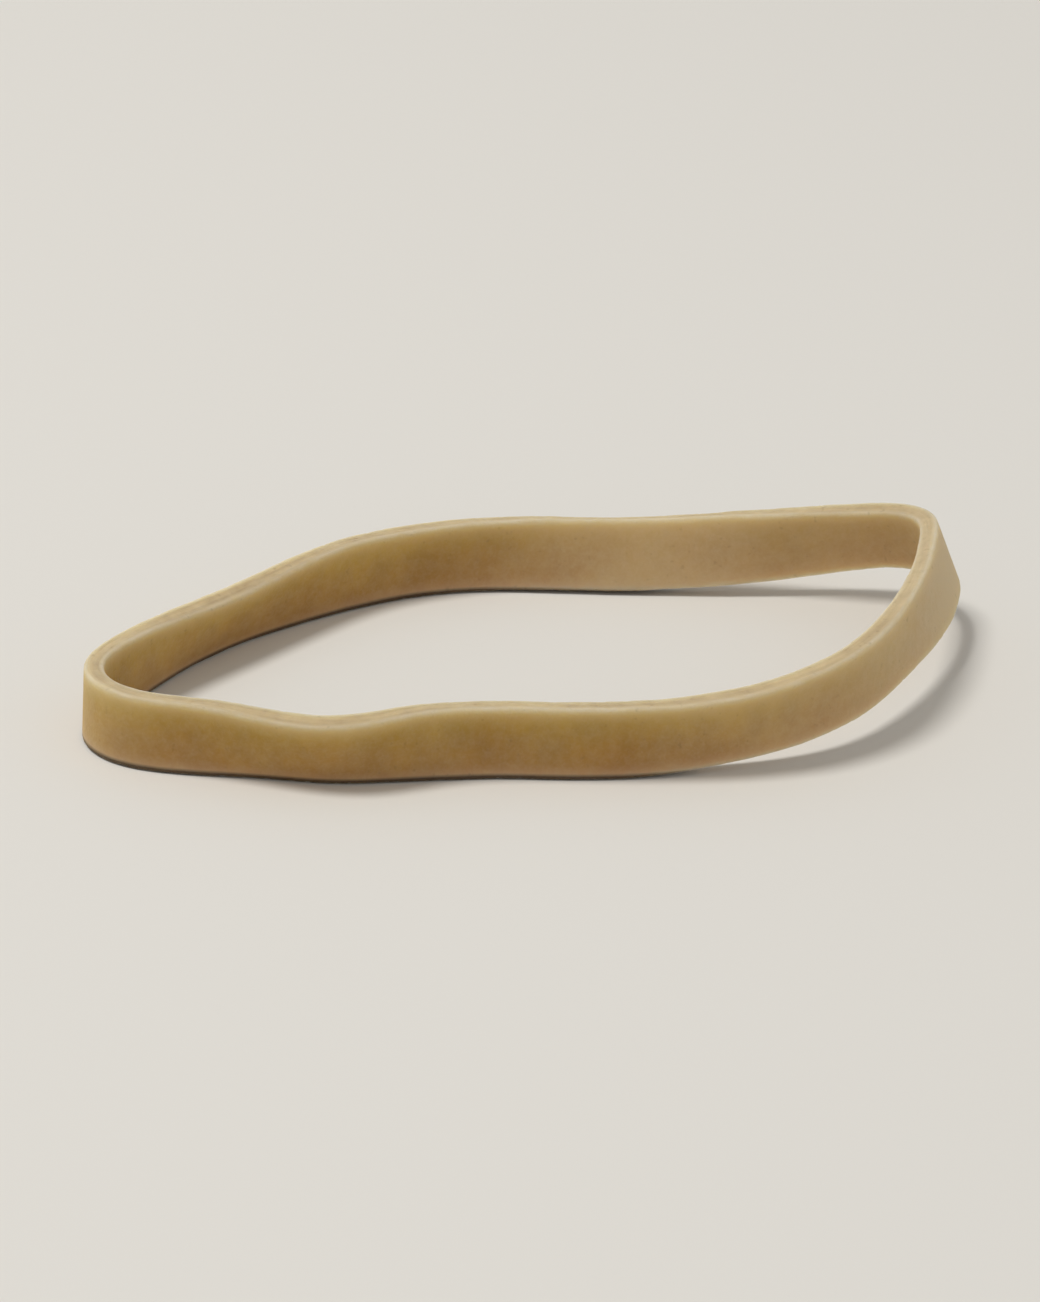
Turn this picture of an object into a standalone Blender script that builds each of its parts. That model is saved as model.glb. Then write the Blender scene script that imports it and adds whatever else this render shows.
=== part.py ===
# Rubber band, one ring cut square across an extruded tube of natural rubber.
# It lies as it was dropped, an open loop that stands on its cut edge.
# Metres, Z up. The origin is under the middle of the loop, on the surface it rests on.
import math

import bmesh
import bpy
import numpy as np

MM = 0.001

# The band as cut: half its length round, the width of the cut, the wall of the tube.
FLAT_LENGTH = 46.0 * MM
CUT_WIDTH = 3.2 * MM
WALL = 0.85 * MM
EDGE_RADIUS = 0.14 * MM

# The loop as it lies, anticlockwise from above and from the left end on.
# Each stretch has a length along the middle of the wall and the angle it turns through.
START_HEADING = math.radians(-118.8)
LEFT_FOLD_LENGTH = 5.3 * MM
LEFT_FOLD_TURN = math.radians(112.5)
FRONT_LEFT_LENGTH = 6.0 * MM
FRONT_LEFT_TURN = math.radians(-4.5)
DIP_LENGTH = 3.1 * MM
DIP_TURN = math.radians(34.0)
DIP_RUN_OUT_LENGTH = 6.4 * MM
DIP_RUN_OUT_TURN = math.radians(-22.0)
FRONT_RUN_TURN = math.radians(17.0)
FRONT_SWEEP_LENGTH = 7.3 * MM
FRONT_SWEEP_TURN = math.radians(42.5)
RIGHT_SIDE_TURN = math.radians(24.5)
RIGHT_CORNER_LENGTH = 3.1 * MM
RIGHT_CORNER_TURN = math.radians(94.0)
BACK_RUN_TURN = math.radians(6.0)
BACK_SWEEP_LENGTH = 9.5 * MM
BACK_SWEEP_TURN = math.radians(38.5)
BACK_LEFT_LENGTH = 14.6 * MM

# The front run, the right side and the back run take the length that is left, each as much
# as closes the loop. Their lengths are found in this many corrections.
CLOSING_COUNT = 12

# Rubber has no sharp kinks, so a bend fades into the next over about this length.
BEND_FADE = 1.0 * MM

# How far the wall leans off upright, top edge outward, with the place along the loop
# where it leans most and how far to each side the lean reaches.
DIP_LEAN = math.radians(20.0)
DIP_LEAN_PLACE = 11.8 * MM
DIP_LEAN_REACH = 6.2 * MM
FRONT_LEAN = math.radians(8.5)
FRONT_LEAN_PLACE = 29.4 * MM
FRONT_LEAN_REACH = 6.8 * MM
RIGHT_LEAN = math.radians(-24.5)
RIGHT_LEAN_PLACE = 47.3 * MM
RIGHT_LEAN_REACH = 13.1 * MM
BACK_LEAN = math.radians(14.5)
BACK_LEAN_PLACE = 63.5 * MM
BACK_LEAN_REACH = 10.2 * MM
LEFT_LEAN = math.radians(-20.0)
LEFT_LEAN_PLACE = 83.6 * MM
LEFT_LEAN_REACH = 8.8 * MM

# The right end springs clear of the surface.
LIFT_HEIGHT = 1.75 * MM
LIFT_PLACE = 44.1 * MM
LIFT_LEVEL_REACH = 2.4 * MM
LIFT_RAMP = 18.4 * MM

# Fineness of the path and of the mesh.
PATH_STEP = 0.05 * MM
CORNER_POINTS = 3
RING_SPACING = 1.1 * MM
RING_TURN = math.radians(6.0)
RING_LEAN = math.radians(2.5)
SMOOTH_LIMIT = math.radians(50.0)

# Natural rubber, tan, with the matt look of talc on it.
RUBBER_COLOUR = (0.30, 0.19, 0.08, 1.0)
RUBBER_ROUGHNESS = 0.62

FULL_TURN = 2.0 * math.pi
ROUND_LENGTH = 2.0 * FLAT_LENGTH


def stretches(front_run, right_side, back_run):
    """Lengths and turns of the stretches in their order round the loop."""
    lengths = [
        LEFT_FOLD_LENGTH,
        FRONT_LEFT_LENGTH,
        DIP_LENGTH,
        DIP_RUN_OUT_LENGTH,
        front_run,
        FRONT_SWEEP_LENGTH,
        right_side,
        RIGHT_CORNER_LENGTH,
        back_run,
        BACK_SWEEP_LENGTH,
        BACK_LEFT_LENGTH,
    ]
    turns = [
        LEFT_FOLD_TURN,
        FRONT_LEFT_TURN,
        DIP_TURN,
        DIP_RUN_OUT_TURN,
        FRONT_RUN_TURN,
        FRONT_SWEEP_TURN,
        RIGHT_SIDE_TURN,
        RIGHT_CORNER_TURN,
        BACK_RUN_TURN,
        BACK_SWEEP_TURN,
    ]
    # The last stretch turns through what the others leave of one full turn.
    turns.append(FULL_TURN - sum(turns))
    return np.array(lengths), np.array(turns)


def walk(runs):
    """Follows the loop: places along it, headings, points, and the gap where it should close."""
    lengths, turns = stretches(*runs)
    total = lengths.sum()
    count = int(round(ROUND_LENGTH / PATH_STEP))
    step = total / count
    middles = (np.arange(count) + 0.5) * step
    ends = np.cumsum(lengths)
    bend = np.zeros(count)
    for start, end, length, turn in zip(ends - lengths, ends, lengths, turns):
        # A stretch near the start of the loop also fades in over its end, and the reverse.
        for lap in (-total, 0.0, total):
            rise = np.tanh((middles + lap - start) / BEND_FADE)
            fall = np.tanh((middles + lap - end) / BEND_FADE)
            bend += turn / length * (rise - fall) / 2.0
    headings = np.concatenate([[0.0], np.cumsum(bend) * step])
    halfway = headings[:-1] + bend * step / 2.0
    xs = np.concatenate([[0.0], np.cumsum(np.cos(halfway)) * step])
    ys = np.concatenate([[0.0], np.cumsum(np.sin(halfway)) * step])
    places = np.arange(count + 1) * step
    gap = np.array([xs[-1], ys[-1], total - ROUND_LENGTH])
    return places, headings, np.column_stack([xs, ys]), gap


def closing_runs():
    """Lengths of the three free runs that close the loop at its full length round."""
    set_lengths = stretches(0.0, 0.0, 0.0)[0].sum()
    runs = np.full(3, (ROUND_LENGTH - set_lengths) / 3.0)
    nudge = PATH_STEP
    for _ in range(CLOSING_COUNT):
        gap = walk(runs)[3]
        slopes = np.zeros((3, 3))
        for column in range(3):
            moved = runs.copy()
            moved[column] += nudge
            slopes[:, column] = (walk(moved)[3] - gap) / nudge
        runs = runs - np.linalg.solve(slopes, gap)
    return runs


def distance_round(places, place):
    """Distance from a place along the loop, the short way round."""
    half = ROUND_LENGTH / 2.0
    return np.abs((places - place + half) % ROUND_LENGTH - half)


def lean_at(places):
    """Lean of the wall, zero beyond the reach of every leaning place."""
    lean = np.zeros(len(places))
    for most, place, reach in (
        (DIP_LEAN, DIP_LEAN_PLACE, DIP_LEAN_REACH),
        (FRONT_LEAN, FRONT_LEAN_PLACE, FRONT_LEAN_REACH),
        (RIGHT_LEAN, RIGHT_LEAN_PLACE, RIGHT_LEAN_REACH),
        (BACK_LEAN, BACK_LEAN_PLACE, BACK_LEAN_REACH),
        (LEFT_LEAN, LEFT_LEAN_PLACE, LEFT_LEAN_REACH),
    ):
        part = np.minimum(distance_round(places, place) / reach, 1.0)
        lean += most * (1.0 + np.cos(np.pi * part)) / 2.0
    return lean


def lift_at(places):
    """Height of the lowest edge over the surface."""
    beyond = distance_round(places, LIFT_PLACE) - LIFT_LEVEL_REACH
    part = np.clip(beyond / LIFT_RAMP, 0.0, 1.0)
    return LIFT_HEIGHT * (1.0 + np.cos(np.pi * part)) / 2.0


def ring_places(places, headings):
    """Places of the rings: close together where the wall bends or twists."""
    ahead = np.diff(places) / RING_SPACING
    turning = np.abs(np.diff(headings)) / RING_TURN
    leaning = np.abs(np.diff(lean_at(places))) / RING_LEAN
    need = np.concatenate([[0.0], np.cumsum(np.maximum(np.maximum(ahead, turning), leaning))])
    count = math.ceil(need[-1])
    wanted = np.arange(count) * need[-1] / count
    return np.interp(wanted, need, places)


def section():
    """Outline of the cut wall, outward and up from its middle, with lightly rounded corners."""
    points = []
    quarter = math.pi / 2.0
    for corner, (side, end) in enumerate(((1, 1), (-1, 1), (-1, -1), (1, -1))):
        across = side * (WALL / 2.0 - EDGE_RADIUS)
        up = end * (CUT_WIDTH / 2.0 - EDGE_RADIUS)
        for point in range(CORNER_POINTS):
            angle = quarter * (corner + point / (CORNER_POINTS - 1))
            out = across + EDGE_RADIUS * math.cos(angle)
            points.append((out, up + EDGE_RADIUS * math.sin(angle)))
    return np.array(points)


def loop_rings():
    """Points of every ring round the loop, one row of section points each."""
    places, headings, line, _ = walk(closing_runs())
    at = ring_places(places, headings)
    heading = np.interp(at, places, headings)
    middle = np.column_stack([np.interp(at, places, line[:, 0]), np.interp(at, places, line[:, 1])])
    outward = np.column_stack([np.sin(heading), -np.cos(heading)])
    lean = lean_at(at)
    sine = np.sin(lean)
    cosine = np.cos(lean)
    # The lowest corner of a leaning wall touches the surface where nothing lifts it.
    half_wall = WALL / 2.0 - EDGE_RADIUS
    half_width = CUT_WIDTH / 2.0 - EDGE_RADIUS
    centre = lift_at(at) + half_width * cosine + half_wall * np.abs(sine) + EDGE_RADIUS
    outline = section()
    across = outline[:, 0]
    up = outline[:, 1]
    out = np.outer(cosine, across) + np.outer(sine, up)
    heights = centre[:, None] + np.outer(cosine, up) - np.outer(sine, across)
    rings = np.empty((len(at), len(outline), 3))
    rings[:, :, 0] = middle[:, 0:1] + outward[:, 0:1] * out
    rings[:, :, 1] = middle[:, 1:2] + outward[:, 1:2] * out
    rings[:, :, 2] = heights
    return rings


def level(rings):
    """Turns the long direction of the loop along X and sets its middle over the origin."""
    cosine = math.cos(START_HEADING)
    sine = math.sin(START_HEADING)
    xs = rings[:, :, 0] * cosine - rings[:, :, 1] * sine
    ys = rings[:, :, 0] * sine + rings[:, :, 1] * cosine
    placed = np.stack([xs, ys, rings[:, :, 2]], axis=2)
    for axis in (0, 1):
        values = placed[:, :, axis]
        placed[:, :, axis] = values - (values.max() + values.min()) / 2.0
    return placed


def band_mesh():
    """Closed skin over the rings."""
    rings = level(loop_rings())
    mesh = bmesh.new()
    rows = [[mesh.verts.new(point) for point in ring] for ring in rings]
    around = len(rows[0])
    for index, row in enumerate(rows):
        following = rows[(index + 1) % len(rows)]
        for point in range(around):
            beside = (point + 1) % around
            mesh.faces.new((row[point], row[beside], following[beside], following[point]))
    bmesh.ops.recalc_face_normals(mesh, faces=mesh.faces)
    data = bpy.data.meshes.new("rubber_band")
    mesh.to_mesh(data)
    mesh.free()
    data.shade_smooth()
    data.set_sharp_from_angle(angle=SMOOTH_LIMIT)
    return data


def rubber():
    """Tan natural rubber."""
    material = bpy.data.materials.new("natural rubber")
    material.use_nodes = True
    shader = material.node_tree.nodes["Principled BSDF"]
    shader.inputs["Base Color"].default_value = RUBBER_COLOUR
    shader.inputs["Roughness"].default_value = RUBBER_ROUGHNESS
    shader.inputs["Metallic"].default_value = 0.0
    return material


for old in list(bpy.data.objects):
    bpy.data.objects.remove(old, do_unlink=True)

band = bpy.data.objects.new("rubber_band", band_mesh())
band.data.materials.append(rubber())
bpy.context.collection.objects.link(band)
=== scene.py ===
import math

import bpy
import numpy as np
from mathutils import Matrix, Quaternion, Vector


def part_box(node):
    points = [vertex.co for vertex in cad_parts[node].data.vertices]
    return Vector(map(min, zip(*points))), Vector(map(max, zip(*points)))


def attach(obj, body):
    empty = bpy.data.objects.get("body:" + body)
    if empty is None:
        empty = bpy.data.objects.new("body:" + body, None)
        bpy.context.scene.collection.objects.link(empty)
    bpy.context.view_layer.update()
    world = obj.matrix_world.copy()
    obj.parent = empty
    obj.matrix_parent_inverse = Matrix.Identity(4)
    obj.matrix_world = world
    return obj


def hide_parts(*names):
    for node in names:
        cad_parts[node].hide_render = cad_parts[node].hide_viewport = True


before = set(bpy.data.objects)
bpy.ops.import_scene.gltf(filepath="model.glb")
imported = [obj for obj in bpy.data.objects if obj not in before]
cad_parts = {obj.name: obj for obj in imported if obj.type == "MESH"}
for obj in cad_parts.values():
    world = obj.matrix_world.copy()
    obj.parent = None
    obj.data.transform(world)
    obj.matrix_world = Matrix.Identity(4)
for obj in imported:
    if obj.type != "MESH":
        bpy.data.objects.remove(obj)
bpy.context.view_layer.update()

# The rubber band.
# One ring of natural rubber, cut square across an extruded and cured tube, then shaken in talc.
# It lies as it fell, an open loop on its cut edge, and the two folds of the flat tube show in it.

MM = 0.001
BAND_ROUND = 92.0 * MM
BAND_WIDTH = 3.2 * MM
BAND_WALL = 0.85 * MM
BAND_EDGE_RADIUS = 0.14 * MM
RING_RADIUS = BAND_ROUND / (2.0 * math.pi)

# The lie of the loop: each stretch with its length in mm and the degrees that it turns.
# A stretch with no length takes what is left, so that the loop closes. The first one starts with
# the heading below, and a bend fades into the next, because rubber has no sharp kinks.
LIE_START = -118.8
LIE_FADE = 1.0 * MM
LIE = (
    ("left fold", 5.3, 112.5),
    ("front left", 6.0, -4.5),
    ("dip", 3.1, 34.0),
    ("run out of the dip", 6.4, -22.0),
    ("front run", None, 17.0),
    ("front sweep", 7.3, 42.5),
    ("right side", None, 24.5),
    ("right corner", 3.1, 94.0),
    ("back run", None, 6.0),
    ("back sweep", 9.5, 38.5),
    ("back left", 14.6, 17.5),
)
# The lengths that are left are found in this many corrections, from the effect of a small nudge.
CLOSING_ROUNDS = 12
CLOSING_NUDGE = 0.05 * MM

# Where the wall leans off upright: by how many degrees, at which mm along the loop,
# and how many mm to each side the lean reaches.
LEANS = (
    ("dip", 20.0, 11.8, 6.2),
    ("front run", 8.5, 29.4, 6.8),
    ("right end", -24.5, 47.3, 13.1),
    ("back run", 14.5, 63.5, 10.2),
    ("back left", -20.0, 83.6, 8.8),
)

# The right end springs clear: how high, where along the loop, and to each side of that place
# how far it stays level and how long its ramp down is.
LIFT_HEIGHT = 1.75 * MM
LIFT_PLACE = 44.1 * MM
LIFT_LEVEL = 2.4 * MM
LIFT_RAMP = 18.4 * MM

# The rail that carries the section has a point in each tenth of a millimetre.
RAIL_SPACING = 0.1 * MM
RAIL_POINTS = round(BAND_ROUND / RAIL_SPACING)
STEPS_PER_POINT = 2


def follow_lie(free_lengths):
    """Walks once round the loop and gives its points, its bend and how far it misses closing."""
    free = iter(free_lengths)
    stretches = []
    for _, length, turn in LIE:
        stretches.append((next(free) if length is None else length * MM, math.radians(turn)))
    total = sum(length for length, _ in stretches)
    steps = RAIL_POINTS * STEPS_PER_POINT
    step = total / steps
    middles = (np.arange(steps) + 0.5) * step
    bend = np.zeros(steps)
    start = 0.0
    for length, turn in stretches:
        for lap in (-total, 0.0, total):
            rise = np.tanh((middles + lap - start) / LIE_FADE)
            fall = np.tanh((middles + lap - start - length) / LIE_FADE)
            bend += turn / length * (rise - fall) / 2.0
        start += length
    headings = math.radians(LIE_START) + np.concatenate([[0.0], np.cumsum(bend) * step])
    halfway = headings[:-1] + bend * step / 2.0
    xs = np.concatenate([[0.0], np.cumsum(np.cos(halfway)) * step])
    ys = np.concatenate([[0.0], np.cumsum(np.sin(halfway)) * step])
    miss = np.array([xs[-1], ys[-1], total - BAND_ROUND])
    line = np.column_stack([xs, ys])[:-1]
    return line[::STEPS_PER_POINT], bend[::STEPS_PER_POINT], miss


def close_lie():
    """Lengths of the free stretches that close the loop."""
    set_lengths = [length for _, length, _ in LIE if length is not None]
    free_count = len(LIE) - len(set_lengths)
    lengths = np.full(free_count, (BAND_ROUND - sum(set_lengths) * MM) / free_count)
    for _ in range(CLOSING_ROUNDS):
        miss = follow_lie(lengths)[-1]
        slopes = np.zeros((free_count, free_count))
        for column in range(free_count):
            moved = lengths.copy()
            moved[column] += CLOSING_NUDGE
            slopes[:, column] = (follow_lie(moved)[-1] - miss) / CLOSING_NUDGE
        lengths = lengths - np.linalg.solve(slopes, miss)
    return lengths


def soft_hump(distance, level, ramp):
    """One where the distance is below level, falling smoothly to zero over the ramp."""
    part = np.clip((distance - level) / ramp, 0.0, 1.0)
    return (1.0 + np.cos(np.pi * part)) / 2.0


def band_rail():
    """The middle line of the wall as a closed run of edges, with its lean, bend and place on the cut ring."""
    line, bend, _ = follow_lie(close_lie())
    places = np.arange(RAIL_POINTS) * BAND_ROUND / RAIL_POINTS

    def away(place):
        """Distance along the loop from a place, the short way round."""
        half = BAND_ROUND / 2.0
        return np.abs((places - place + half) % BAND_ROUND - half)

    lean = np.zeros(RAIL_POINTS)
    for _, most, place, reach in LEANS:
        lean += math.radians(most) * soft_hump(away(place * MM), 0.0, reach * MM)
    lift = LIFT_HEIGHT * soft_hump(away(LIFT_PLACE), LIFT_LEVEL, LIFT_RAMP)
    # The lower cut edge touches its level with one of its round corners.
    across = BAND_WALL / 2.0 - BAND_EDGE_RADIUS
    up = BAND_WIDTH / 2.0 - BAND_EDGE_RADIUS
    middle = lift + up * np.cos(lean) + across * np.abs(np.sin(lean)) + BAND_EDGE_RADIUS
    points = np.column_stack([line, middle])
    angles = places / RING_RADIUS
    ring_way = np.column_stack([np.cos(angles), np.sin(angles), np.zeros(RAIL_POINTS)])

    edges = [(i, (i + 1) % RAIL_POINTS) for i in range(RAIL_POINTS)]
    mesh = bpy.data.meshes.new("band rail")
    mesh.from_pydata(points.tolist(), edges, [])
    mesh.attributes.new("lean", "FLOAT", "POINT").data.foreach_set("value", lean)
    mesh.attributes.new("bend", "FLOAT", "POINT").data.foreach_set("value", bend)
    mesh.attributes.new("ring_way", "FLOAT_VECTOR", "POINT").data.foreach_set("vector", ring_way.ravel())
    rail = bpy.data.objects.new("band_rail", mesh)
    bpy.context.collection.objects.link(rail)
    return rail


def add_node(tree, kind, inputs=None, out=0, **settings):
    """Adds a node with its settings, fills or links its inputs, and gives back one of its outputs."""
    node = tree.nodes.new(kind)
    for name, value in settings.items():
        setattr(node, name, value)
    for name, value in (inputs or {}).items():
        if isinstance(value, bpy.types.NodeSocket):
            tree.links.new(value, node.inputs[name])
        else:
            node.inputs[name].default_value = value
    return node.outputs[out] if node.outputs else node


# The sizes of the sweep: the section, the spacing of its points, and what cutting and wear leave.
SWEEP_SIZES = {
    "Wall": BAND_WALL,
    "Width": BAND_WIDTH,
    "Edge Radius": BAND_EDGE_RADIUS,
    "Point Spacing": 0.16 * MM,
    "Ring Radius": RING_RADIUS,
    "Wall Unevenness": 0.02 * MM,
    "Edge Wander": 0.04 * MM,
    "Nick Depth": 0.05 * MM,
    "Skin Ripple": 0.006 * MM,
    "Seed": 3.0,
}


def cut_section(tree, sizes):
    """The section as cut: a rectangle of wall by width, its corners just broken."""
    outline = add_node(
        tree,
        "GeometryNodeCurvePrimitiveQuadrilateral",
        {"Width": sizes["Wall"], "Height": sizes["Width"]},
        mode="RECTANGLE",
    )
    outline = add_node(
        tree,
        "GeometryNodeFilletCurve",
        {"Curve": outline, "Count": 3, "Radius": sizes["Edge Radius"]},
        mode="POLY",
    )
    place = add_node(tree, "GeometryNodeInputPosition")
    following = add_node(tree, "GeometryNodeOffsetPointInCurve", {"Offset": 1}, out="Point Index")
    beyond = add_node(
        tree,
        "GeometryNodeFieldAtIndex",
        {"Index": following, "Value": place},
        data_type="FLOAT_VECTOR",
    )
    side = add_node(tree, "ShaderNodeVectorMath", {0: place, 1: beyond}, out="Value", operation="DISTANCE")
    cuts = add_node(tree, "ShaderNodeMath", {0: side, 1: sizes["Point Spacing"]}, operation="DIVIDE")
    outline = add_node(tree, "GeometryNodeSubdivideCurve", {"Curve": outline, "Cuts": cuts})
    # The rail carries it with its own Y downwards, so its place is kept the other way up.
    upright = add_node(tree, "ShaderNodeVectorMath", {0: place, 1: (1.0, -1.0, 1.0)}, operation="MULTIPLY")
    return add_node(
        tree,
        "GeometryNodeStoreNamedAttribute",
        {"Geometry": outline, "Name": "section_place", "Value": upright},
        data_type="FLOAT_VECTOR",
        domain="POINT",
    )


def worn_away(tree, sizes, ring, across, up):
    """How far the cutting and the wear take each point of the skin inwards."""
    # How much a point belongs to a cut edge, to a face, or to the corner between them: from none
    # at one and a half times the corner's radius away to full on the flat itself.
    half_width = add_node(tree, "ShaderNodeMath", {0: sizes["Width"], 1: 0.5}, operation="MULTIPLY")
    height = add_node(tree, "ShaderNodeMath", {0: up}, operation="ABSOLUTE")
    to_edge = add_node(tree, "ShaderNodeMath", {0: half_width, 1: height}, operation="SUBTRACT")
    near = add_node(tree, "ShaderNodeMath", {0: sizes["Edge Radius"], 1: 1.5}, operation="MULTIPLY")
    edge = add_node(tree, "ShaderNodeMapRange", {"Value": to_edge, "From Min": near, "From Max": 0.0})
    half_wall = add_node(tree, "ShaderNodeMath", {0: sizes["Wall"], 1: 0.5}, operation="MULTIPLY")
    depth = add_node(tree, "ShaderNodeMath", {0: across}, operation="ABSOLUTE")
    to_face = add_node(tree, "ShaderNodeMath", {0: half_wall, 1: depth}, operation="SUBTRACT")
    surface = add_node(tree, "ShaderNodeMapRange", {"Value": to_face, "From Min": near, "From Max": 0.0})
    corner = add_node(tree, "ShaderNodeMath", {0: edge, 1: surface}, operation="MULTIPLY")

    # Four kinds of unevenness, all cut inwards. Each has its own spacing on the real ring, the
    # points that it keeps to, and the noise at which it begins and is full.
    pull = None
    for name, spacing, where, begins, full in (
        ("Wall Unevenness", 5.0 * MM, surface, 0.3, 0.7),
        ("Edge Wander", 1.8 * MM, edge, 0.3, 0.7),
        ("Nick Depth", 0.32 * MM, corner, 0.56, 0.72),
        ("Skin Ripple", 0.45 * MM, None, 0.2, 0.8),
    ):
        wave = add_node(
            tree,
            "ShaderNodeTexNoise",
            {"Vector": ring, "W": sizes["Seed"], "Scale": 1.0 / spacing, "Detail": 2.0},
            noise_dimensions="4D",
        )
        wave = add_node(tree, "ShaderNodeMapRange", {"Value": wave, "From Min": begins, "From Max": full})
        wave = add_node(tree, "ShaderNodeMath", {0: wave, 1: sizes[name]}, operation="MULTIPLY")
        if where is not None:
            wave = add_node(tree, "ShaderNodeMath", {0: wave, 1: where}, operation="MULTIPLY")
        pull = wave if pull is None else add_node(tree, "ShaderNodeMath", {0: pull, 1: wave}, operation="ADD")
    return pull


def band_sweep():
    """Geometry Nodes that carry the cut section of the tube along the rail and wear its edges."""
    tree = bpy.data.node_groups.new("band sweep", "GeometryNodeTree")
    ports = tree.interface
    ports.new_socket("Rail", in_out="INPUT", socket_type="NodeSocketGeometry")
    for name in SWEEP_SIZES:
        ports.new_socket(name, in_out="INPUT", socket_type="NodeSocketFloat")
    ports.new_socket("Rubber", in_out="INPUT", socket_type="NodeSocketMaterial")
    ports.new_socket("Band", in_out="OUTPUT", socket_type="NodeSocketGeometry")
    sizes = tree.nodes.new("NodeGroupInput").outputs

    # The rail carries the section round, upright apart from the lean of each place.
    rail = add_node(tree, "GeometryNodeMeshToCurve", {"Mesh": sizes["Rail"]})
    rail = add_node(tree, "GeometryNodeSetCurveNormal", {"Curve": rail}, mode="Z_UP")
    lean = add_node(tree, "GeometryNodeInputNamedAttribute", {"Name": "lean"}, data_type="FLOAT")
    rail = add_node(tree, "GeometryNodeSetCurveTilt", {"Curve": rail, "Tilt": lean})
    outline = cut_section(tree, sizes)
    skin = add_node(tree, "GeometryNodeCurveToMesh", {"Curve": rail, "Profile Curve": outline})

    # Each point's place on the ring as it was cut, before it was laid down: wear and grain keep to it.
    way = add_node(tree, "GeometryNodeInputNamedAttribute", {"Name": "ring_way"}, data_type="FLOAT_VECTOR")
    section = add_node(
        tree,
        "GeometryNodeInputNamedAttribute",
        {"Name": "section_place"},
        data_type="FLOAT_VECTOR",
    )
    across = add_node(tree, "ShaderNodeSeparateXYZ", {"Vector": section}, out="X")
    up = across.node.outputs["Y"]
    reach = add_node(tree, "ShaderNodeMath", {0: across, 1: sizes["Ring Radius"]}, operation="ADD")
    ring = add_node(tree, "ShaderNodeVectorMath", {0: way, "Scale": reach}, operation="SCALE")
    level = add_node(tree, "ShaderNodeCombineXYZ", {"Z": up})
    ring = add_node(tree, "ShaderNodeVectorMath", {0: ring, 1: level}, operation="ADD")
    skin = add_node(
        tree,
        "GeometryNodeStoreNamedAttribute",
        {"Geometry": skin, "Name": "ring_place", "Value": ring},
        data_type="FLOAT_VECTOR",
        domain="POINT",
    )

    # How far the lie of the loop stretches the skin: its bend times its distance outside the middle.
    bend = add_node(tree, "GeometryNodeInputNamedAttribute", {"Name": "bend"}, data_type="FLOAT")
    strain = add_node(tree, "ShaderNodeMath", {0: bend, 1: across}, operation="MULTIPLY")
    skin = add_node(
        tree,
        "GeometryNodeStoreNamedAttribute",
        {"Geometry": skin, "Name": "strain", "Value": strain},
        data_type="FLOAT",
        domain="POINT",
    )

    # The skin as worn, smooth and in its material.
    pull = worn_away(tree, sizes, ring, across, up)
    inward = add_node(tree, "ShaderNodeMath", {0: pull, 1: -1.0}, operation="MULTIPLY")
    normal = add_node(tree, "GeometryNodeInputNormal")
    shift = add_node(tree, "ShaderNodeVectorMath", {0: normal, "Scale": inward}, operation="SCALE")
    skin = add_node(tree, "GeometryNodeSetPosition", {"Geometry": skin, "Offset": shift})
    skin = add_node(tree, "GeometryNodeSetShadeSmooth", {"Geometry": skin, "Shade Smooth": True})
    skin = add_node(tree, "GeometryNodeRealizeInstances", {"Geometry": skin})
    skin = add_node(tree, "GeometryNodeSetMaterial", {"Geometry": skin, "Material": sizes["Rubber"]})
    add_node(tree, "NodeGroupOutput", {"Band": skin})
    return tree


def linear(hex_colour):
    """An sRGB hex colour as linear red, green, blue and alpha."""
    parts = [int(hex_colour[i:i + 2], 16) / 255.0 for i in (1, 3, 5)]
    return tuple(p / 12.92 if p <= 0.04045 else ((p + 0.055) / 1.055) ** 2.4 for p in parts) + (1.0,)


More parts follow.
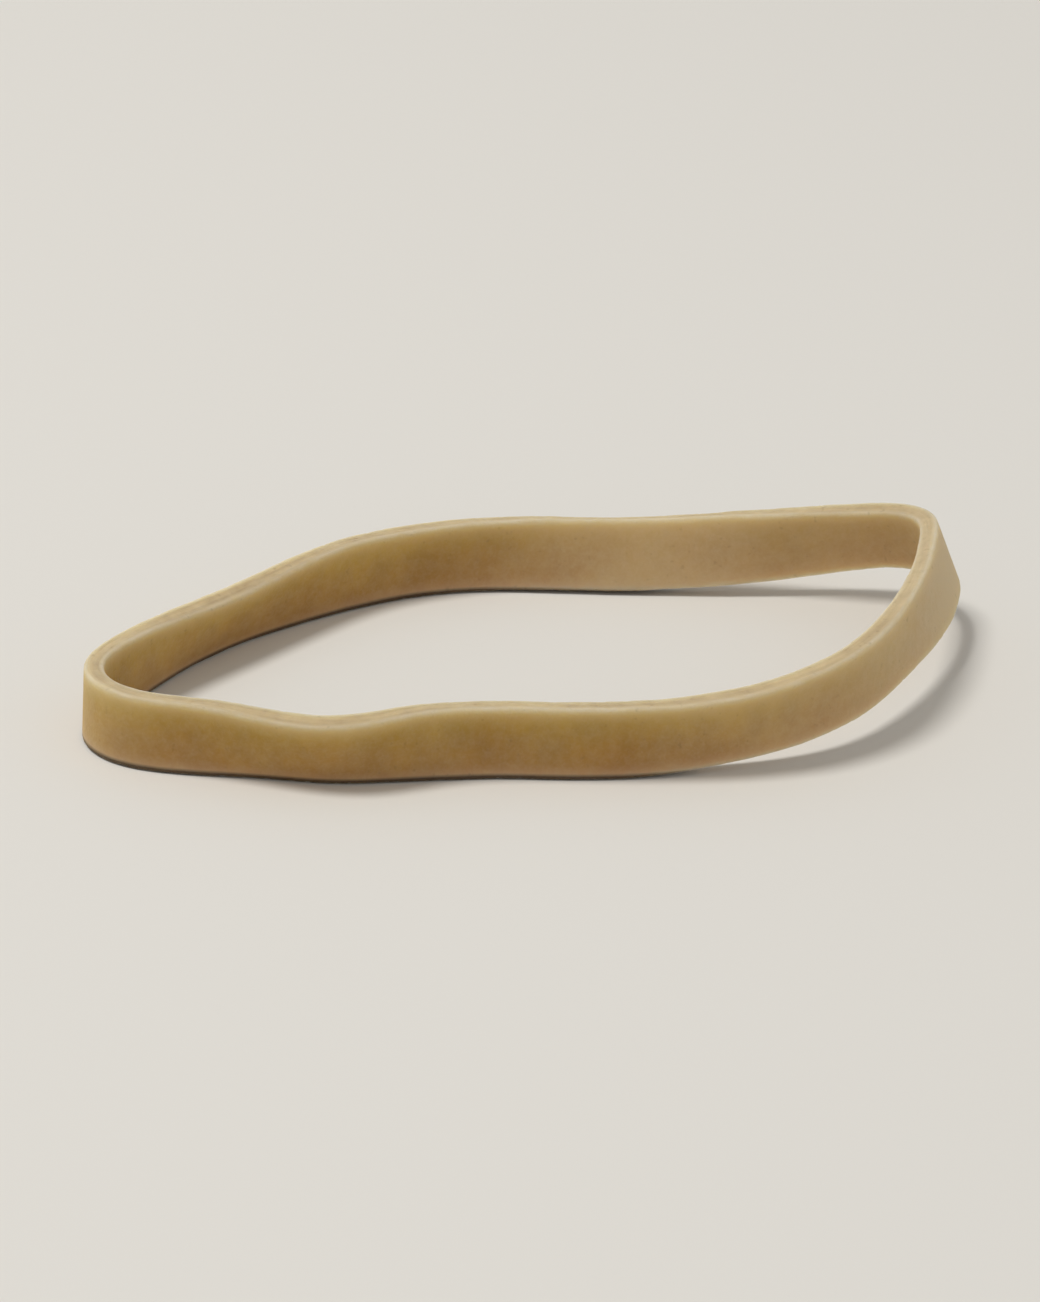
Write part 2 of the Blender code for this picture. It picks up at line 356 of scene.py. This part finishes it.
def natural_rubber():
    """Natural rubber, extruded as a tube, cured, talced and cut. Light enters it, so the wall is amber in its
    depth and straw towards the cuts, and that straw is also painted into its colour as light, under a matt
    grey-cream bloom of talc."""
    material = bpy.data.materials.new("natural rubber, extruded and talced")
    material.use_nodes = True
    tree = material.node_tree
    shader = tree.nodes["Principled BSDF"]

    ring = add_node(tree, "ShaderNodeAttribute", out="Vector", attribute_name="ring_place")
    section = add_node(tree, "ShaderNodeAttribute", out="Vector", attribute_name="section_place")
    strain = add_node(tree, "ShaderNodeAttribute", out="Fac", attribute_name="strain")
    across = add_node(tree, "ShaderNodeSeparateXYZ", {"Vector": section}, out="X")
    up = across.node.outputs["Y"]
    height = add_node(tree, "ShaderNodeMath", {0: up}, operation="ABSOLUTE")
    depth = add_node(tree, "ShaderNodeMath", {0: across}, operation="ABSOLUTE")
    half_width = BAND_WIDTH / 2.0
    half_wall = BAND_WALL / 2.0

    def uneven(spacing, detail=2.0, stretch=(1.0, 1.0, 1.0), begins=0.35, full=0.65):
        """Unevenness of a real spacing that stays with the cut ring, from 0 where it begins to 1."""
        place = add_node(tree, "ShaderNodeVectorMath", {0: ring, 1: stretch}, operation="MULTIPLY")
        wave = {"Vector": place, "Scale": 1.0 / spacing, "Detail": detail}
        wave = add_node(tree, "ShaderNodeTexNoise", wave)
        return add_node(tree, "ShaderNodeMapRange", {"Value": wave, "From Min": begins, "From Max": full})

    def lay_over(under, over, where, most=1.0):
        """Lays a colour over another, by at most a share, where a value from 0 to 1 says."""
        share = add_node(tree, "ShaderNodeMath", {0: where, 1: most}, operation="MULTIPLY")
        # A Mix node has its colours in inputs 6 and 7 and gives theirs in output 2.
        layers = {0: share, 6: under, 7: linear(over)}
        return add_node(tree, "ShaderNodeMix", layers, out=2, data_type="RGBA")

    # Body colour: amber that drifts over the length of the band, with browner clouds in it.
    colour = linear("#AC8338")
    colour = lay_over(colour, "#BB9A4B", uneven(5.0 * MM))
    colour = lay_over(colour, "#8B672A", uneven(1.3 * MM, detail=3.0), most=0.4)
    # Faint lines across the band, which ran along the tube as it left the die.
    drawn = uneven(0.5 * MM, detail=3.0, stretch=(1.0, 1.0, 0.05))
    colour = lay_over(colour, "#B38E48", drawn, most=0.14)
    # Painted light: light that enters a cut edge leaves the wall near it, and it is painted into the colour.
    # By the upper cut, where the light falls from above, it is straw that falls off to olive. By the lower
    # cut it is a redder tint and a narrow pale line, which stand in for light that the surface under it
    # throws back.
    upper = 1.0
    lower = -1.0
    for cut_side, reach, most, painted_glow in (
        (upper, 2.0 * MM, 0.8, "#CAB253"),
        (upper, 1.0 * MM, 0.65, "#CFC5AF"),
        (lower, 2.6 * MM, 0.7, "#AC8053"),
        (lower, 0.85 * MM, 0.9, "#DCBBA0"),
    ):
        towards = add_node(tree, "ShaderNodeMath", {0: up, 1: cut_side}, operation="MULTIPLY")
        painted_glow_share = add_node(
            tree,
            "ShaderNodeMapRange",
            {"Value": towards, "From Min": half_width - reach, "From Max": half_width},
        )
        painted_glow_share = add_node(tree, "ShaderNodeMath", {0: painted_glow_share, 1: painted_glow_share}, operation="MULTIPLY")
        colour = lay_over(colour, painted_glow, painted_glow_share, most)
    # The outer skin pales where a tight fold stretches it.
    pull = add_node(tree, "ShaderNodeMapRange", {"Value": strain, "From Min": 0.04, "From Max": 0.4})
    colour = lay_over(colour, "#C0AC85", pull, most=0.5)

    # Talc: grains, small patches and drifts everywhere, more on upward surfaces, and some on the cuts. The
    # share on upward surfaces is real talc lying there, and it also paints the paler look that light from
    # above gives them. A share on one side of the ring, which lies at the right end, is painted light that
    # makes that end paler. Real grains are too fine to show, so they are drawn as clumps.
    cut = add_node(
        tree,
        "ShaderNodeMapRange",
        {"Value": height, "From Min": half_width - 0.34 * MM, "From Max": half_width - 0.02 * MM},
        interpolation_type="SMOOTHSTEP",
    )
    grains = uneven(0.13 * MM, begins=0.4, full=0.7)
    patches = uneven(0.42 * MM, begins=0.38, full=0.66)
    drifts = uneven(2.6 * MM, detail=3.0, stretch=(1.0, 1.0, 2.0), begins=0.4, full=0.75)
    worn = uneven(0.6 * MM, detail=3.0, begins=0.3, full=0.7)
    facing = add_node(tree, "ShaderNodeNewGeometry", out="Normal")
    facing = add_node(tree, "ShaderNodeSeparateXYZ", {"Vector": facing}, out="Z")
    # Talc and painted light: upward surfaces made paler.
    settled_talc_and_painted_top_light = add_node(tree, "ShaderNodeMapRange", {"Value": facing, "From Min": 0.0, "From Max": 0.4})
    side = add_node(tree, "ShaderNodeSeparateXYZ", {"Vector": ring}, out="X")
    # Painted light: the side of the ring at the right end made paler.
    painted_light_side = add_node(
        tree,
        "ShaderNodeMapRange",
        {"Value": side, "From Min": -0.1 * RING_RADIUS, "From Max": -0.8 * RING_RADIUS},
    )
    held = add_node(tree, "ShaderNodeMath", {0: worn, 1: 0.3, 2: 0.1}, operation="MULTIPLY_ADD")
    talc = add_node(tree, "ShaderNodeMath", {0: cut, 1: held}, operation="MULTIPLY")
    for dust, share in ((grains, 0.1), (drifts, 0.1), (patches, 0.11), (settled_talc_and_painted_top_light, 0.55), (painted_light_side, 0.45)):
        talc = add_node(tree, "ShaderNodeMath", {0: dust, 1: share, 2: talc}, operation="MULTIPLY_ADD")
    # The bloom colour carries this painted light as well as the talc.
    bloom = add_node(tree, "ShaderNodeClamp", {"Value": talc})
    colour = lay_over(colour, "#CCB892", bloom)

    # The knife stood still while the tube turned, so its marks run along the cut and dull it.
    # They are drawn coarser than real ones, so that they show.
    mark_length = 2.5 * MM
    mark_spacing = 0.16 * MM
    along = add_node(tree, "ShaderNodeVectorMath", {0: ring, "Scale": 1.0 / mark_length}, operation="SCALE")
    over = add_node(tree, "ShaderNodeMath", {0: across, 1: 1.0 / mark_spacing}, operation="MULTIPLY")
    marks = add_node(
        tree,
        "ShaderNodeTexNoise",
        {"Vector": along, "W": over, "Scale": 1.0, "Detail": 2.0},
        noise_dimensions="4D",
    )
    marks = add_node(tree, "ShaderNodeMapRange", {"Value": marks, "From Min": 0.35, "From Max": 0.65})
    dull = add_node(tree, "ShaderNodeMath", {0: marks, 1: 0.3, 2: 0.12}, operation="MULTIPLY_ADD")
    dull = add_node(tree, "ShaderNodeMath", {0: worn, 1: 0.3, 2: dull}, operation="MULTIPLY_ADD")
    dull = add_node(tree, "ShaderNodeMath", {0: cut, 1: dull}, operation="MULTIPLY")
    colour = lay_over(colour, "#A08D70", dull)
    # The corners of the cut are rubbed pale.
    by_face = add_node(
        tree,
        "ShaderNodeMapRange",
        {"Value": depth, "From Min": half_wall - 0.26 * MM, "From Max": half_wall - 0.08 * MM},
    )
    by_cut = add_node(
        tree,
        "ShaderNodeMapRange",
        {"Value": height, "From Min": half_width - 0.3 * MM, "From Max": half_width - 0.1 * MM},
    )
    corner = add_node(tree, "ShaderNodeMath", {0: by_face, 1: by_cut}, operation="MULTIPLY")
    rubbed = add_node(tree, "ShaderNodeMath", {0: worn, 1: 0.4, 2: 0.1}, operation="MULTIPLY_ADD")
    rubbed = add_node(tree, "ShaderNodeMath", {0: corner, 1: rubbed}, operation="MULTIPLY")
    colour = lay_over(colour, "#DACDB4", rubbed)
    # Specks of dark dirt and scorched rubber.
    specks = uneven(0.3 * MM, detail=1.0, begins=0.68, full=0.82)
    colour = lay_over(colour, "#5F4823", specks, most=0.22)
    # Painted shade: a dark brown line along the bottom edge, only where it stands on the floor, in place of
    # the contact shadow.
    above = add_node(tree, "ShaderNodeTexCoord", out="Object")
    above = add_node(tree, "ShaderNodeSeparateXYZ", {"Vector": above}, out="Z")
    painted_contact_shade = {"Value": above, "From Min": 0.32 * MM, "From Max": 0.17 * MM}
    painted_contact_shade = add_node(tree, "ShaderNodeMapRange", painted_contact_shade)
    colour = lay_over(colour, "#3F270C", painted_contact_shade, most=0.9)
    tree.links.new(colour, shader.inputs["Base Color"])

    # Rubber has a soft gloss where it is bare, and talc takes it away.
    rough = add_node(tree, "ShaderNodeMapRange", {"Value": talc, "To Min": 0.55, "To Max": 0.9})
    tree.links.new(rough, shader.inputs["Roughness"])
    shader.inputs["IOR"].default_value = 1.52
    shader.inputs["Specular IOR Level"].default_value = 0.25
    shader.inputs["Subsurface Weight"].default_value = 1.0
    shader.inputs["Subsurface Radius"].default_value = (1.0, 0.88, 0.6)
    shader.inputs["Subsurface Scale"].default_value = 1.6 * MM
    shader.inputs["Sheen Weight"].default_value = 0.25
    shader.inputs["Sheen Roughness"].default_value = 0.45
    shader.inputs["Sheen Tint"].default_value = linear("#E2C795")

    # Relief: talc grains and die lines on the faces, knife marks on the cuts.
    relief = add_node(tree, "ShaderNodeMath", {0: marks, 1: cut}, operation="MULTIPLY")
    relief = add_node(tree, "ShaderNodeMath", {0: relief, 1: 0.9}, operation="MULTIPLY")
    for rise, share in ((grains, 0.5), (drawn, 0.35)):
        relief = add_node(tree, "ShaderNodeMath", {0: rise, 1: share, 2: relief}, operation="MULTIPLY_ADD")
    bump = add_node(tree, "ShaderNodeBump", {"Strength": 0.6, "Distance": 0.02 * MM, "Height": relief})
    tree.links.new(bump, shader.inputs["Normal"])
    return material


rail = band_rail()
sweep = rail.modifiers.new("sweep", "NODES")
sweep.node_group = band_sweep()
sweep_inputs = dict(SWEEP_SIZES, Rubber=natural_rubber())
for socket in sweep.node_group.interface.items_tree:
    if socket.name in sweep_inputs:
        sweep[socket.identifier] = sweep_inputs[socket.name]

evaluated = rail.evaluated_get(bpy.context.evaluated_depsgraph_get())
mesh = bpy.data.meshes.new_from_object(evaluated)
bpy.data.objects.remove(rail, do_unlink=True)

# The lie starts at the left fold, and the band's origin is under the middle of the loop.
points = np.empty(len(mesh.vertices) * 3)
mesh.vertices.foreach_get("co", points)
points = points.reshape(-1, 3)
solid_middle = np.mean(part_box("rubber_band"), axis=0)
skin_middle = (points.min(axis=0) + points.max(axis=0)) / 2.0
points[:, :2] += (solid_middle - skin_middle)[:2]
mesh.vertices.foreach_set("co", points.ravel())
band = bpy.data.objects.new("band", mesh)
bpy.context.collection.objects.link(band)
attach(band, "root")
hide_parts("rubber_band")

# The floor.
# A plain pale sheet of matt board under the band. It is not part of it, and takes its shadow.
FLOOR_HALF = 1.5
FLOOR_COLOUR = "#E4E0D8"
FLOOR_ROUGHNESS = 0.9
floor_mesh = bpy.data.meshes.new("floor")
floor_corners = [(x * FLOOR_HALF, y * FLOOR_HALF, 0.0) for x, y in ((-1, -1), (1, -1), (1, 1), (-1, 1))]
floor_mesh.from_pydata(floor_corners, [], [(0, 1, 2, 3)])
floor = bpy.data.objects.new("floor", floor_mesh)
bpy.context.collection.objects.link(floor)
board = bpy.data.materials.new("pale matt board")
board.use_nodes = True
board_shader = board.node_tree.nodes["Principled BSDF"]
board_shader.inputs["Base Color"].default_value = linear(FLOOR_COLOUR)
board_shader.inputs["Roughness"].default_value = FLOOR_ROUGHNESS
floor.data.materials.append(board)

# The light.
# Soft studio light: an even sky, and one broad lamp high up, to the left.
# The camera and reflections see a pale wall where the sky is.
SKY_COLOUR = "#FFFFFF"
SKY_STRENGTH = 0.42
WALL_COLOUR = "#E9E6E0"
WALL_STRENGTH = 1.0
LAMP_WIDTH = 0.2
LAMP_WATTS = 2.5
LAMP_PLACE = Vector((-0.27, 0.0, 0.62))
world = bpy.data.worlds.new("even light")
bpy.context.scene.world = world
world.use_nodes = True
sky = world.node_tree
sky.nodes.clear()
rays = add_node(sky, "ShaderNodeLightPath", out="Is Camera Ray").node.outputs
seen = add_node(
    sky,
    "ShaderNodeMath",
    {0: rays["Is Camera Ray"], 1: rays["Is Glossy Ray"]},
    operation="MAXIMUM",
)
seen = add_node(sky, "ShaderNodeMath", {0: seen, 1: rays["Is Transmission Ray"]}, operation="MAXIMUM")
lit = add_node(sky, "ShaderNodeBackground", {"Color": linear(SKY_COLOUR), "Strength": SKY_STRENGTH})
shown = add_node(sky, "ShaderNodeBackground", {"Color": linear(WALL_COLOUR), "Strength": WALL_STRENGTH})
blend = add_node(sky, "ShaderNodeMixShader", {0: seen, 1: lit, 2: shown})
add_node(sky, "ShaderNodeOutputWorld", {"Surface": blend})

lamp_data = bpy.data.lights.new("broad lamp", "AREA")
lamp_data.shape = "DISK"
lamp_data.size = LAMP_WIDTH
lamp_data.energy = LAMP_WATTS
lamp = bpy.data.objects.new("broad_lamp", lamp_data)
lamp.location = LAMP_PLACE
lamp.rotation_euler = (-LAMP_PLACE).to_track_quat("-Z", "Y").to_euler()
bpy.context.collection.objects.link(lamp)

# The camera.
# It stands where the photograph was taken from, with a longer lens that fills the frame.
# It is turned to the band, and rolled as much as that turn tilts the band in its picture.
CAMERA_PLACE = Vector((-0.03104, -0.18688, 0.08718))
CAMERA_AIM = Vector((-0.0009, -0.001, 0.0019))
CAMERA_ROLL = math.radians(3.45)
CAMERA_LENS = 138.2
CAMERA_FILM = 36.0
CAMERA_NEAR = 0.01
CAMERA_FAR = 10.0
camera_data = bpy.data.cameras.new("camera")
camera_data.lens = CAMERA_LENS
camera_data.sensor_width = CAMERA_FILM
camera_data.sensor_fit = "AUTO"
camera_data.clip_start = CAMERA_NEAR
camera_data.clip_end = CAMERA_FAR
camera = bpy.data.objects.new("camera", camera_data)
camera.location = CAMERA_PLACE
turned = (CAMERA_AIM - CAMERA_PLACE).to_track_quat("-Z", "Y")
turned = turned @ Quaternion((0.0, 0.0, 1.0), CAMERA_ROLL)
camera.rotation_euler = turned.to_euler()
bpy.context.collection.objects.link(camera)
bpy.context.scene.camera = camera
bpy.context.scene.view_settings.view_transform = "Standard"
